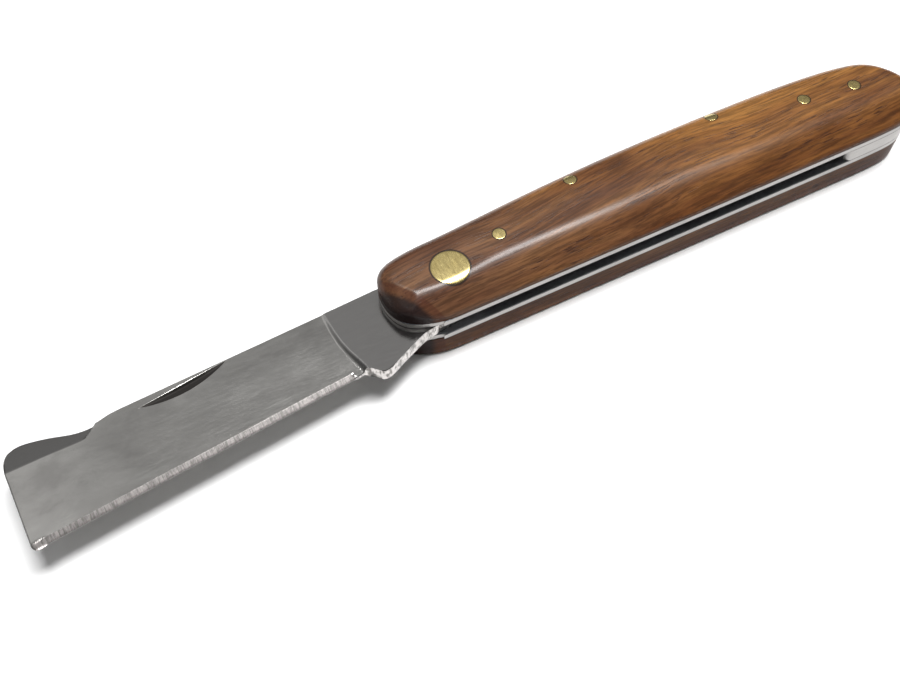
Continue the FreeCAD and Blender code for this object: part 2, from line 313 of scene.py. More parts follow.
# %% Material: walnut
# Tones from the dark late wood to the light early wood: umber near the nose, orange towards the butt.
UMBER = [(0.30, (0.050, 0.019, 0.009)), (0.42, (0.105, 0.042, 0.019)), (0.52, (0.165, 0.075, 0.033)),
         (0.62, (0.22, 0.108, 0.045)), (0.75, (0.29, 0.15, 0.062))]
ORANGE = [(0.30, (0.110, 0.036, 0.009)), (0.42, (0.190, 0.073, 0.018)), (0.52, (0.290, 0.122, 0.027)),
          (0.62, (0.370, 0.170, 0.039)), (0.75, (0.45, 0.22, 0.055))]


def wood_figure(tree, shift):
    """The colour of the bare wood, the depth of its bands, and its pores."""
    warp = noise(tree, placed(tree, (14, 30, 30), 0, shift), 1.0, 2.0, 0.5)
    swing = add(tree, "ShaderNodeCombineXYZ", {1: times(tree, minus(tree, warp, 0.5), 0.012)}).outputs[0]
    bent = vector_math(tree, "ADD", placed(tree, (1, 1, 1), math.radians(-4), shift), swing)
    grain = stretched(tree, bent, (22, 300, 260))
    bands = noise(tree, grain, 1.0, 5.0, 0.6, 0.4)
    zones = noise(tree, stretched(tree, bent, (30, 90, 90)), 1.0, 2.0, 0.5)
    tone = plus(tree, times(tree, bands, 0.6), times(tree, zones, 0.4))
    patch = noise(tree, placed(tree, (38, 110, 110), 0, shift), 1.0, 2.0, 0.5)
    heart = plus(tree, times(tree, part_of(tree, bent, 0), 9.0), times(tree, patch, 0.9))
    colour = mix(tree, ramp(tree, heart, [(0.45, 0.0), (1.05, 0.9)]),
                 ramp(tree, tone, UMBER, "LINEAR"), ramp(tree, tone, ORANGE, "LINEAR"))
    fibre = noise(tree, stretched(tree, bent, (160, 2600, 2400)), 1.0, 3.0, 0.65)
    colour = mix(tree, 1.0, colour, ramp(tree, fibre, [(0.35, 0.55), (0.65, 1.05)]), "MULTIPLY")
    dash = noise(tree, stretched(tree, bent, (330, 4600, 4200)), 1.0, 1.0, 0.5)
    where = ramp(tree, noise(tree, grain, 1.7, 2.0, 0.5), [(0.40, 0.15), (0.60, 1.0)])
    pores = times(tree, ramp(tree, dash, [(0.57, 0.0), (0.66, 1.0)]), where)
    return colour, bands, pores


def walnut(name, seed):
    material, tree = tree_of(name)
    colour, bands, pores = wood_figure(tree, (0.013 * seed, 0.021 * seed, 0.0))
    wall, end = attribute(tree, "wall"), attribute(tree, "end")
    colour = mix(tree, times(tree, pores, 0.75), colour, (0.045, 0.017, 0.008))
    colour = mix(tree, times(tree, pin_rings(tree), 0.85), colour, (0.012, 0.006, 0.003))
    # Side walls are dull, and their colour is painted darker as shade. The nose bevel is end grain, red at
    # its crest, and its foot is painted nearly black as shade.
    colour = mix(tree, times(tree, wall, 0.55), colour, (0.045, 0.024, 0.018))
    colour = mix(tree, ramp(tree, end, [(0.0, 0.0), (0.10, 0.55), (0.6, 0.3)]), colour, (0.085, 0.026, 0.013))
    colour = mix(tree, ramp(tree, end, [(0.30, 0.0), (0.62, 0.88)]), colour, (0.014, 0.010, 0.010))
    # Painted shade: faces that turn towards the belly, the belly facet among them, are darkened and cooled by
    # the direction of their normal.
    belly_facing_shade = ramp(tree, times(tree, normal_part(tree, 1), -1.0), [(0.20, 0.0), (0.60, 1.0)])
    colour = mix(tree, belly_facing_shade, colour, mix(tree, 1.0, colour, (0.84, 0.80, 0.90), "MULTIPLY"))
    colour = mix(tree, 1.0, colour, (0.86, 0.84, 0.84), "MULTIPLY")
    normal = bump(tree, minus(tree, times(tree, bands, 0.25), pores), 0.35, 0.00006)
    slow = noise(tree, placed(tree, (1, 1, 1)), 160, 3.0, 0.5)
    normal = bump(tree, slow, 0.25, 0.0003, normal)
    coat = times(tree, ramp(tree, end, [(0.1, 0.28), (0.5, 0.05)]), minus(tree, 1.0, wall))
    finish_material(tree, **{"Base Color": colour, "Roughness": plus(tree, 0.30, times(tree, slow, 0.16)),
                             "Normal": normal, "IOR": 1.5, "Coat Weight": coat, "Coat Roughness": 0.2,
                             "Specular IOR Level": ramp(tree, wall, [(0.0, 0.25), (1.0, 0.06)], "LINEAR"),
                             "Coat IOR": 1.5})
    return material


# %% [markdown]
# ### Blade steel
#
# The flat is belt-ground to a grey satin. The ricasso was blanked and only brushed, so it is darker. The
# edge bevel is set on a coarse wheel, across the edge: bright, with visible marks. Point attributes on the
# blade mark the zones, because they follow the steel and not the space around it. The kick and the underside
# of the tang are left rough from the press, which shows as speckle.

# %% Material: blade steel
def nick_mask(tree):
    """1 inside the nail nick on the near side: the same crescent formula that cuts it into the mesh."""
    moved = vector_math(tree, "ADD", placed(tree, (1000, 1000, 1000)), (-NICK_X, -NICK_Y, -Z_MID))
    turn = add(tree, "ShaderNodeMapping", {0: moved, 2: (0, 0, -NICK_TILT)}).outputs[0]
    parts = add(tree, "ShaderNodeSeparateXYZ", {0: turn})
    u2 = math_node(tree, "POWER", math_node(tree, "DIVIDE", parts.outputs[0], NICK_HALF), 2.0)
    low = times(tree, minus(tree, 1.0, u2), 1.45)
    inside = plus(tree, parts.outputs[1], low)
    below = ramp(tree, inside, [(0.0, 0.0), (0.10, 1.0)])
    above = ramp(tree, minus(tree, 0.2, parts.outputs[1]), [(0.02, 0.0), (0.10, 1.0)])
    near = math_node(tree, "GREATER_THAN", parts.outputs[2], 0.0)
    return times(tree, times(tree, below, above), near)


def side_mask(tree):
    """1 on faces that stand up from the plan, such as the kick and the underside of the tang."""
    return ramp(tree, math_node(tree, "ABSOLUTE", normal_part(tree, 2)), [(0.35, 1.0), (0.6, 0.0)])


def kick_mask(tree):
    """1 along the kick and the underside of the tang, 0.25 or less on the other side faces."""
    parts = add(tree, "ShaderNodeSeparateXYZ", {0: placed(tree, (1, 1, 1))})
    across = ramp(tree, plus(tree, times(tree, parts.outputs[0], 20.0), 0.5), [(0.09, 0.25), (0.12, 1.0)])
    below = ramp(tree, plus(tree, times(tree, parts.outputs[1], 50.0), 0.5), [(0.45, 1.0), (0.60, 0.25)])
    return times(tree, across, below)


def blade_steel():
    material, tree = tree_of("blade_steel")
    along, n_along = grinding(tree, placed(tree, (900, 9000, 9000), math.radians(-5.3)), 0.07)
    cross, n_cross = grinding(tree, placed(tree, (7200, 900, 900), math.radians(-18)), 0.3)
    cloud = noise(tree, placed(tree, (60, 110, 110)), 1.0, 4.0, 0.6, 0.3)
    bevel = attribute(tree, "bevel")
    dark = attribute(tree, "dark")
    flat = ramp(tree, cloud, [(0.3, (0.38, 0.37, 0.355)), (0.5, (0.485, 0.475, 0.455)),
                              (0.7, (0.60, 0.59, 0.565))])
    flat = mix(tree, times(tree, along, 0.10), flat, (0.52, 0.51, 0.50))
    edge = ramp(tree, cross, [(0.2, (0.22, 0.21, 0.20)), (0.8, (0.42, 0.39, 0.38))])
    colour = mix(tree, dark, flat, (0.40, 0.39, 0.38))
    colour = mix(tree, bevel, colour, edge)
    nick = nick_mask(tree)
    # Painted shade: the nail nick is coloured nearly black.
    colour = mix(tree, nick, colour, (0.050, 0.047, 0.044))
    speckle = noise(tree, placed(tree, (1600, 1600, 700)), 1.0, 3.0, 0.6)
    raw = ramp(tree, speckle, [(0.38, (0.16, 0.15, 0.14)), (0.60, (0.62, 0.59, 0.57))])
    raw = mix(tree, kick_mask(tree), (0.40, 0.385, 0.375), raw)
    colour = mix(tree, side_mask(tree), colour, raw)
    rough = plus(tree, 0.11, times(tree, along, 0.05))
    rough = plus(tree, rough, times(tree, bevel, 0.20))
    rough = plus(tree, rough, times(tree, nick, 0.60))
    normal = add(tree, "ShaderNodeMix", {0: bevel}, data_type="VECTOR")
    tree.links.new(n_along, normal.inputs[4])
    tree.links.new(n_cross, normal.inputs[5])
    finish_material(tree, **{"Base Color": colour, "Metallic": 1.0, "Roughness": rough,
                             "Normal": normal.outputs[1]})
    return material


# %% Material: liner steel
def liner_steel():
    """Brushed side faces with a dark line at each seam of the stack, and flat faces painted darker as shade
    inside the slot.
    """
    material, tree = tree_of("liner_steel")
    lines, normal = grinding(tree, placed(tree, (900, 2600, 9000)), 0.5)
    cloud = noise(tree, placed(tree, (140, 140, 140)), 1.0, 3.0, 0.6)
    colour = mix(tree, lines, (0.40, 0.385, 0.375), (0.50, 0.485, 0.47))
    colour = mix(tree, ramp(tree, cloud, [(0.35, 0.30), (0.6, 0.0)]), colour, (0.28, 0.2725, 0.265))
    height = part_of(tree, placed(tree, (1000, 1000, 1000)), 2)
    off_middle = math_node(tree, "ABSOLUTE", minus(tree, height, Z_MID))
    to_wood = math_node(tree, "ABSOLUTE", minus(tree, off_middle, Z_WOOD - Z_MID))
    to_slot = math_node(tree, "ABSOLUTE", minus(tree, off_middle, SLOT_T / 2))
    to_seam = math_node(tree, "MINIMUM", to_wood, to_slot)
    seam = ramp(tree, to_seam, [(0.04, 0.8), (0.13, 0.0)])
    flat_face = ramp(tree, math_node(tree, "ABSOLUTE", normal_part(tree, 2)), [(0.5, 0.0), (0.9, 1.0)])
    # Painted shade: the flat faces, which inside the slot lie in the recess, are darkened.
    colour = mix(tree, times(tree, flat_face, 0.8), colour, (0.25, 0.26, 0.28))
    seam = times(tree, seam, minus(tree, 1.0, flat_face))
    colour = mix(tree, seam, colour, (0.035, 0.032, 0.030))
    rough = plus(tree, 0.40, times(tree, lines, 0.15))
    finish_material(tree, **{"Base Color": colour, "Metallic": 1.0, "Roughness": rough, "Normal": normal})
    return material


# %% Material: brass
def brass():
    material, tree = tree_of("brass_filed")
    lines, normal = grinding(tree, placed(tree, (7000, 1600, 1600), math.radians(35)), 0.06)
    cloud = noise(tree, placed(tree, (420, 420, 420)), 1.0, 3.0, 0.6)
    colour = mix(tree, cloud, (0.60, 0.46, 0.17), (0.82, 0.68, 0.32))
    colour = mix(tree, attribute(tree, "rim"), colour, (0.30, 0.20, 0.06))
    rough = plus(tree, 0.20, times(tree, lines, 0.10))
    finish_material(tree, **{"Base Color": colour, "Metallic": 1.0, "Roughness": rough, "Normal": normal})
    return material


WALNUT_NEAR, WALNUT_FAR = walnut("walnut_near", 1), walnut("walnut_far", 4)
BLADE_STEEL, LINER_STEEL, BRASS = blade_steel(), liner_steel(), brass()
for node in ("liner_near", "liner_far", "back_spring", "pivot_pin"):
    NODES[node].data.materials.clear()
    NODES[node].data.materials.append(LINER_STEEL)
print("materials", [m.name for m in bpy.data.materials])

# %% [markdown]
# ## Wooden scales
#
# The maker files a scale by eye. Both have a side wall, a flat top, a crown that falls to the back and a rim
# that rolls over. The near one also has a facet along the belly, which meets the flat top in a soft ridge,
# and a bevel across the nose.
#
# The surface is a sheet of columns: each column runs from the belly to the back at one x. Columns and rows
# crowd towards the rim by a cosine, so the tight roll at the edge gets the points. The height of each point
# is the flat top less the crown's parabola, cut by the facet and the bevel with a softened minimum, less a
# quarter ellipse near the rim. The side wall goes straight down from the last points.

# %% Height of the wood above its liner
RIDGE_SOFT, CREST_SOFT, BEVEL_SLOPE = 1.5, 0.16, math.radians(28)


def ridge_at(x):
    """The hand-made ridge between the belly facet and the flat top wanders a little along the handle."""
    dip = np.exp(-((x + 0.5) / 6) ** 2)
    rise = np.exp(-((x - 44) / 9) ** 2)
    return -2.05 - 0.3 * smooth(0, -8, x) - dip + 0.4 * rise


def past_crest(x, y):
    """How far a point lies past the crest of the nose bevel, which runs obliquely across the nose."""
    return -0.797 * (x + 8.25) - 0.604 * y


def gap_to_rim(x, y):
    """Distance inside the outline, and the y of the nearest point of the outline."""
    gap, near = np.empty(x.size), np.empty(x.size)
    px, py = x.ravel(), y.ravel()
    for i in range(0, px.size, 2000):
        d = np.hypot(px[i:i + 2000, None] - RIM[None, :, 0], py[i:i + 2000, None] - RIM[None, :, 1])
        k = d.argmin(axis=1)
        gap[i:i + 2000] = d[np.arange(len(k)), k]
        near[i:i + 2000] = RIM[k, 1]
    return gap.reshape(x.shape), near.reshape(x.shape)


def wood_height(x, y, faceted):
    """Height over the liner. The rim rolls over tightly on the belly and widely on the back."""
    gap, near = gap_to_rim(x, y)
    top = WOOD_T - np.maximum(y - FLAT_Y, 0) ** 2 / (2 * CROWN_R)
    if faceted:
        ridge = ridge_at(x)
        facet = WOOD_T - (ridge - y) * (WOOD_T - WALL_H) / (ridge - BELLY_Y)
        bevel = WOOD_T - past_crest(x, y) * math.tan(BEVEL_SLOPE)
        top = soft_min(soft_min(top, facet, RIDGE_SOFT), bevel, CREST_SOFT)
    blend = smooth(-4.5, 1.0, near)
    width, drop = 0.6 + 2.0 * blend, 0.4 + 2.0 * blend
    return top - drop * (1 - np.sqrt(1 - np.maximum(1 - gap / width, 0) ** 2))


# %% Both scales
def wood_scale(name, side, material, stands_for):
    """One scale: the top sheet, a point at each end of it, the side wall, and a flat foot on the liner."""
    cols, rows = 380, 92
    middle, half = (RIM[:, 0].max() + RIM[:, 0].min()) / 2, np.ptp(RIM[:, 0]) / 2
    xs = middle - half * np.cos(np.linspace(0, np.pi, cols))
    lo = np.interp(xs, lower[:, 0], lower[:, 1])
    hi = np.interp(xs, upper[:, 0], upper[:, 1])
    lo[0] = hi[0] = (lo[0] + hi[0]) / 2
    lo[-1] = hi[-1] = (lo[-1] + hi[-1]) / 2
    v = (1 - np.cos(np.linspace(0, np.pi, rows))) / 2
    x = np.repeat(xs[1:-1, None], rows, axis=1)
    y = lo[1:-1, None] + (hi - lo)[1:-1, None] * v
    z = wood_height(x, y, side > 0)
    inner = np.column_stack([x.ravel(), y.ravel(), z.ravel()])
    ends = np.array([[xs[0], lo[0], 0], [xs[-1], lo[-1], 0]])
    ends[:, 2] = wood_height(ends[:, 0], ends[:, 1], side > 0)
    n = cols - 2
    at = lambda i, j: i * rows + j
    faces = []
    for i in range(n - 1):
        base = np.arange(rows - 1) + i * rows
        faces += np.column_stack([base, base + rows, base + rows + 1, base + 1]).tolist()
    left, right = n * rows, n * rows + 1
    faces += [[left, at(0, j), at(0, j + 1)] for j in range(rows - 1)]
    faces += [[right, at(n - 1, j + 1), at(n - 1, j)] for j in range(rows - 1)]
    ring = [at(i, 0) for i in range(n)] + [right] + [at(i, rows - 1) for i in reversed(range(n))] + [left]
    top = np.vstack([inner, ends])
    m = len(ring)
    verts = [top]
    previous, count = ring, len(top)
    for level in (0.66, 0.33, 0.0):
        verts.append(top[ring] * [1, 1, level])
        current = list(range(count, count + m))
        faces += [[previous[k], current[k], current[(k + 1) % m], previous[(k + 1) % m]] for k in range(m)]
        previous, count = current, count + m
    verts.append(np.array([[40.0, 1.5, 0.0]]))
    faces += [[previous[k], count, previous[(k + 1) % m]] for k in range(m)]
    verts = np.vstack(verts)
    wall = np.zeros(len(verts))
    gap, near = gap_to_rim(top[:, 0], top[:, 1])
    # The wall mark also reaches onto the rolled rim of the top, which it dulls and paints a little darker as
    # shade.
    wall[:len(top)] = 0.6 * smooth(0.25 + 0.75 * smooth(-5, 0, near), 0, gap)
    wall[len(top):] = 1
    # The end mark grows past the crest of the nose bevel: end grain that takes less coat, and painted shade
    # at the bevel's foot.
    end = np.clip(past_crest(verts[:, 0], verts[:, 1]) / 3.0, 0, 1)
    verts[:, 2] = Z_MID + side * (Z_WOOD - Z_MID + verts[:, 2])
    if side < 0:
        faces = [f[::-1] for f in faces]
    return make(name, verts, faces, material, "handle", stands_for,
                {"wall": wall, "end": end})


wood_scale("walnut_scale_near", 1, WALNUT_NEAR, ["wood_scale_near"])
wood_scale("walnut_scale_far", -1, WALNUT_FAR, ["wood_scale_far"])

# %% [markdown]
# ## Brass pins and pivot heads
#
# A pin is cut a little long, peened, and filed down with the wood, so its end follows the wood's slope. The
# end is a polar grid lifted a few hundredths of a millimetre over the wood, with its edge turned down. The
# pivot heads are larger discs filed in the same way, so the near one takes the slope of the ridge beside it.

# %% Pins
SEG, RINGS = 56, 14
LIFT, DOME = 0.02, 0.03


def cap_of(x, y, r, faceted, dome):
    """A round cap over the wood: its points (height above the liner), its faces and a mark near its rim."""
    radii = r * np.sin(np.linspace(0, np.pi / 2, RINGS + 1))[1:]
    angle = np.linspace(0, 2 * np.pi, SEG, endpoint=False)
    px = np.concatenate([[x], x + np.outer(radii, np.cos(angle)).ravel()])
    py = np.concatenate([[y], y + np.outer(radii, np.sin(angle)).ravel()])
    q = np.concatenate([[0], np.repeat(radii / r, SEG)])
    level = wood_height(px, py, faceted)
    pz = level + LIFT + dome * (1 - q ** 2) - 0.08 * smooth(0.90, 1.0, q) ** 2
    faces = [[0, 1 + k, 1 + (k + 1) % SEG] for k in range(SEG)]
    for i in range(RINGS - 1):
        a, b = 1 + i * SEG, 1 + (i + 1) * SEG
        faces += [[a + k, b + k, b + (k + 1) % SEG, a + (k + 1) % SEG] for k in range(SEG)]
    return np.column_stack([px, py, pz]), faces, smooth(0.93, 1.0, q)


def end_piece(name, x, y, r, side, inner, stands_for, dome=DOME):
    """A piece that ends inside the knife: a cap, a wall and a flat inner face."""
    cap, faces, mark = cap_of(x, y, r, side > 0, dome)
    n, last = len(cap), len(cap) - SEG
    foot = np.column_stack([cap[last:, 0], cap[last:, 1], np.full(SEG, inner)])
    verts = np.vstack([cap, foot, [[x, y, inner]]])
    faces += [[last + k, n + k, n + (k + 1) % SEG, last + (k + 1) % SEG] for k in range(SEG)]
    faces += [[n + k, n + SEG, n + (k + 1) % SEG] for k in range(SEG)]
    verts[:, 2] = Z_MID + side * (Z_WOOD - Z_MID + verts[:, 2])
    if side < 0:
        faces = [f[::-1] for f in faces]
    marks = {"rim": np.concatenate([mark, np.zeros(SEG + 1)])}
    return make(name, verts, faces, BRASS, "handle", stands_for, marks, 50)


def through_piece(name, x, y, r, stands_for):
    """A piece that goes right through: two caps joined by a wall."""
    near, faces, mark = cap_of(x, y, r, True, DOME)
    far = cap_of(x, y, r, False, DOME)[0]
    n, last = len(near), len(near) - SEG
    near[:, 2] += Z_WOOD
    far[:, 2] = 2 * Z_MID - Z_WOOD - far[:, 2]
    faces = faces + [[v + n for v in f][::-1] for f in faces]
    faces += [[last + k, last + n + k, last + n + (k + 1) % SEG, last + (k + 1) % SEG] for k in range(SEG)]
    marks = {"rim": np.concatenate([mark, mark])}
    return make(name, np.vstack([near, far]), faces, BRASS, "handle", stands_for, marks, 50)


for key, (x, y) in PINS.items():
    through_piece("brass_" + key, x, y, PIN_R, [key])
for side, word in ((1, "near"), (-1, "far")):
    for key, (x, y) in RIVETS.items():
        end_piece(f"brass_{key}_{word}", x, y, PIN_R, side, -LINER_T, [f"{key}_{word}"])
    end_piece(f"brass_pivot_head_{word}", 0.0, 0.0, HEAD_R, side, WOOD_T - HEAD_T, [f"pivot_head_{word}"],
              2 * DOME)

# %% [markdown]
# ## Blade
#
# One piece of steel: tang with three flats, kick, ricasso at full thickness, a ground flat that starts at a
# soft plunge line, a coarse edge bevel, a nail nick, and the blunt bark lifter on the back near the tip. The
# plan is a patch stretched between four boundary curves. The half thickness at each point is the smallest of
# the ricasso, the ground flat, the edge bevel and the lifter's bevel, blended where the wheel left a soft
# line.

# %% Blade outline
TANG, TANG_R, FOLD, EDGE_ANGLE = 4.86, 2.2, 173.0, math.radians(5.34)
HEEL = np.array([-19.5, -7.8])
EDGE_DIR = np.array([math.cos(EDGE_ANGLE), math.sin(EDGE_ANGLE)])
EDGE_UP = np.array([-EDGE_DIR[1], EDGE_DIR[0]])
TIP = HEEL - 50.0 * EDGE_DIR


def turned(x, y, degrees):
    c, s = math.cos(math.radians(degrees)), math.sin(math.radians(degrees))
    return np.array([c * x - s * y, s * x + c * y])


def straight(a, b, n):
    return np.linspace(np.asarray(a, float), np.asarray(b, float), n)


def rounded(before, at, after, r, n=40):
    """The arc that rounds a corner between two straight lines."""
    at = np.asarray(at, float)
    a = (np.asarray(before) - at) / np.hypot(*(np.asarray(before) - at))
    b = (np.asarray(after) - at) / np.hypot(*(np.asarray(after) - at))
    half = math.acos(float(a @ b)) / 2
    mid = at + (a + b) / np.hypot(*(a + b)) * r / math.sin(half)
    p, q = at + a * r / math.tan(half), at + b * r / math.tan(half)
    t0, t1 = math.atan2(*(p - mid)[::-1]), math.atan2(*(q - mid)[::-1])
    t1 = t0 + (t1 - t0 + math.pi) % (2 * math.pi) - math.pi
    t = np.linspace(t0, t1, n)
    return mid + r * np.column_stack([np.cos(t), np.sin(t)])


closing = math.radians(180 - FOLD)
low_corner = (TANG, -TANG * (1 - math.sin(closing)) / math.cos(closing))
belly_end = turned(6.6, TANG, -FOLD)
arc_top = rounded((-11, TANG), (TANG, TANG), low_corner, TANG_R)
arc_low = rounded((TANG, TANG), low_corner, belly_end, TANG_R)
half_top, half_low = len(arc_top) // 2, len(arc_low) // 2
kick = spline([belly_end, (-9.2, -6.7), (-12.9, -8.35), (-14.7, -9.15), (-15.9, -9.25), (-16.9, -8.55),
               (-18.3, -7.55), HEEL], belly_end - arc_low[-1], (-1, -0.12), 400)
toe = spline([TIP, (-71.25, -12.78), (-71.85, -12.0)], (-1, -0.12), (-0.1, 1), 60)
hump = spline([(-72.2, -1.5), (-72.25, 1.3), (-71.75, 3.2), (-70.4, 4.15), (-67.6, 4.1), (-64.4, 3.3),
               (-61.8, 2.4), (-59.8, 2.12), (-58.0, 2.27), (-56.2, 2.7), (-54.0, 2.95)],
              (-0.06, 1), (1, 0.05), 400)
split_hump = int(np.argmin(np.hypot(*(hump - [-71.6, 3.6]).T)))
split_toe = 40
BOTTOM = np.vstack([toe[:split_toe + 1][::-1], straight(TIP, HEEL, 300)[1:-1], kick[::-1],
                    arc_low[half_low:][::-1]])
TOP = np.vstack([hump[split_hump:], straight(hump[-1], (-11, 5.1), 300)[1:],
                 straight((-11, 5.1), (-8.4, TANG), 20)[1:], straight((-8.4, TANG), arc_top[0], 60)[1:],
                 arc_top[1:half_top + 1]])
LEFT = np.vstack([toe[split_toe:], straight(toe[-1], hump[0], 80)[1:-1], hump[:split_hump + 1]])
RIGHT = np.vstack([arc_low[:half_low + 1][::-1], arc_top[half_top:][::-1]])
print("blade from", BOTTOM[0].round(2), "to", TOP[-1].round(2))


# %% Thickness of the blade
BEVEL_W, GROUND_FROM, GROUND_TO = 0.97, 1.05, 13.0
EDGE_HALF, BEVEL_HALF, GROUND_GAIN = 0.05, 0.5, 0.7


def plunge_x(y):
    """Where the ground flat ends: nearly straight down from the spine, then swinging to the handle."""
    return np.interp(y, [-8.0, -7.0, -6.0, -4.8, -3.4, -1.4, 1.0, 3.4],
                     [-18.3, -18.45, -18.75, -19.15, -19.6, -20.05, -20.3, -20.4])


def lifter_end_x(y):
    """Where the lifter's bevel ends: it runs out in a curve up to the dip of the back."""
    return np.interp(y, [0.3, 0.5, 0.75, 1.3, 2.0, 2.7, 4.0],
                     [-60.6, -59.9, -59.5, -58.9, -58.3, -57.6, -57.0])


def nick_depth(x, y):
    """Crescent cut by a small tilted wheel: deepest along its upper edge, fading out below."""
    c, s = math.cos(NICK_TILT), math.sin(NICK_TILT)
    u = c * (x - NICK_X) + s * (y - NICK_Y)
    p = -(-s * (x - NICK_X) + c * (y - NICK_Y))
    depth = 0.5 * (1 - (u / NICK_HALF) ** 2) - p * 0.5 / 1.35
    return np.maximum(depth, 0) * smooth(-0.15, 0.35, p)


def half_thickness(x, y, near):
    """Half thickness, and two marks: 1 on the edge bevel, and 1 on the darker ricasso and lifter.

    v is the distance from the edge. A bevel ends where a large step is added to its height. The ground flat
    carries a very shallow wave, because it is ground by hand.
    """
    v = (x - HEEL[0]) * EDGE_UP[0] + (y - HEEL[1]) * EDGE_UP[1]
    ground = BEVEL_HALF + GROUND_GAIN * (v - GROUND_FROM) / (GROUND_TO - GROUND_FROM)
    ground += 0.018 * np.sin(x * 0.55 + 0.5) * np.sin(v * 0.45) * smooth(1.0, 3.0, v)
    plunge = smooth(-0.45, 0.45, x - plunge_x(y))
    flat = ground + (BLADE_T / 2 - ground) * plunge
    edge = EDGE_HALF + (BEVEL_HALF - EDGE_HALF) * v / BEVEL_W
    edge = edge + 3 * smooth(-20.5, -19.2, x)
    lifter = 0.10 - (y - 4.1) * math.tan(math.radians(15.5))
    lifter = lifter + 2.0 * smooth(-0.35, 0.35, x - lifter_end_x(y))
    h = soft_min(soft_min(flat, edge, 0.004), lifter, 0.04)
    if near:
        h = h - nick_depth(x, y)
    bevel = smooth(0.02, -0.02, edge - flat)
    dark = np.maximum(smooth(-0.5, 0.5, x - plunge_x(y)), smooth(0.03, -0.03, lifter - flat))
    return np.maximum(h, 0.04), bevel, dark


# %% [markdown]
# ### The blade's mesh
#
# Each column of the patch goes from the lower boundary to the back, and each row along the blade. The first
# rows keep fixed distances from the edge, so that the narrow bevel gets its own points. Inside the patch a
# point is the sum of the two ruled surfaces less the bilinear one through the corners. That bends the first
# rows a little, so they are moved back to their distances from the edge, and the move fades out over the next
# twenty rows.

# %% Plan of the blade
COLS, ROWS, SPREAD = 420, 100, 20
near_edge = np.array([0, 0.10, 0.30, 0.55, 0.80, 0.92, 0.9625, 1.0, 1.15])
BEVEL_ROW = 6


def along(points, parameter):
    """Points at the given fractions of a curve's length."""
    s = np.concatenate([[0], np.cumsum(np.hypot(*np.diff(points, axis=0).T))])
    s /= s[-1]
    return np.column_stack([np.interp(parameter, s, points[:, k]) for k in (0, 1)])


def at_x(points, xs):
    return np.column_stack([xs, np.interp(xs, points[:, 0], points[:, 1])])


u = np.linspace(0, 1, COLS)
low_curve = at_x(BOTTOM, BOTTOM[0, 0] + (BOTTOM[-1, 0] - BOTTOM[0, 0]) * u)
top_curve = at_x(TOP, TOP[0, 0] + (TOP[-1, 0] - TOP[0, 0]) * u)
widths = np.hypot(*(top_curve - low_curve).T)
line = len(near_edge)
rest = np.concatenate([np.linspace(0, 0.66, 39)[1:], np.linspace(0.66, 1, ROWS - line - 37)[1:]])
v = np.empty((COLS, ROWS))
v[:, :line] = near_edge / widths[:, None]
v[:, line:] = v[:, [line - 1]] + (1 - v[:, [line - 1]]) * rest
v[:, -2] = 1 - 0.12 / widths
left, right = along(LEFT, v[0]), along(RIGHT, v[-1])
U = u[:, None, None]
W = v[:, :, None]
left_at = np.stack([np.interp(v, v[0], left[:, k]) for k in (0, 1)], axis=2)
right_at = np.stack([np.interp(v, v[-1], right[:, k]) for k in (0, 1)], axis=2)
plan = ((1 - W) * low_curve[:, None] + W * top_curve[:, None] + (1 - U) * left_at + U * right_at
        - ((1 - U) * (1 - W) * low_curve[0] + U * (1 - W) * low_curve[-1]
           + (1 - U) * W * top_curve[0] + U * W * top_curve[-1]))
print("plan of", COLS, "columns and", ROWS, "rows")

# %% Rows that follow the edge bevel
off_edge = (plan - HEEL) @ EDGE_UP
shift = np.zeros((COLS, ROWS))
shift[:, :line] = near_edge - off_edge[:, :line]
shift[:, line:line + SPREAD] = shift[:, [line - 1]] * np.linspace(1, 0, SPREAD + 2)[1:-1]
shift *= smooth(TIP[0], TIP[0] + 0.4, plan[:, :1, 0]) * smooth(HEEL[0], HEEL[0] - 0.4, plan[:, :1, 0])
plan = plan + shift[..., None] * EDGE_UP
print("rows moved by up to", round(float(np.abs(shift).max()), 2), "mm to follow the edge bevel")

# %% Bore for the axle
# Quads inside the bore are left out, and the points round the gap are pulled out onto the circle.
px, py = plan[..., 0].ravel(), plan[..., 1].ravel()
index = np.arange(COLS * ROWS).reshape(COLS, ROWS)
quads = np.stack([index[:-1, :-1], index[1:, :-1], index[1:, 1:], index[:-1, 1:]], axis=-1).reshape(-1, 4)
BORE_R = 1.545
inside = np.hypot(px, py) < BORE_R
kept = quads[~inside[quads].any(axis=1)]
lost = np.unique(quads[inside[quads].any(axis=1)])
seam = np.intersect1d(lost, np.unique(kept))
seam = seam[np.hypot(px[seam], py[seam]) < 3]
stretch = BORE_R / np.hypot(px[seam], py[seam])
px[seam] *= stretch
py[seam] *= stretch
print("bore of", 2 * BORE_R, "mm with", len(seam), "points")

# %% Both faces and the walls between them
h_near, bevel_near, dark_near = half_thickness(px, py, True)
h_far, bevel_far, dark_far = half_thickness(px, py, False)
rim_points = np.zeros(COLS * ROWS, bool)
rim_points[np.concatenate([index[0], index[-1], index[:, 0], index[:, -1]])] = True
turn_down = np.where(rim_points, np.minimum(0.10, h_near * 0.3), 0.0)
used = np.unique(kept)
new = -np.ones(COLS * ROWS, int)
new[used] = np.arange(len(used))
kept = new[kept]
n = len(used)
near_pts = np.column_stack([px, py, Z_MID + h_near - turn_down])[used]
far_pts = np.column_stack([px, py, Z_MID - h_far + turn_down])[used]
edges = np.vstack([kept[:, [0, 1]], kept[:, [1, 2]], kept[:, [2, 3]], kept[:, [3, 0]]])
pairs = {(a, b) for a, b in edges.tolist()}
border = np.array([(a, b) for a, b in pairs if (b, a) not in pairs])
walls = np.column_stack([border[:, 1], border[:, 0], border[:, 0] + n, border[:, 1] + n])
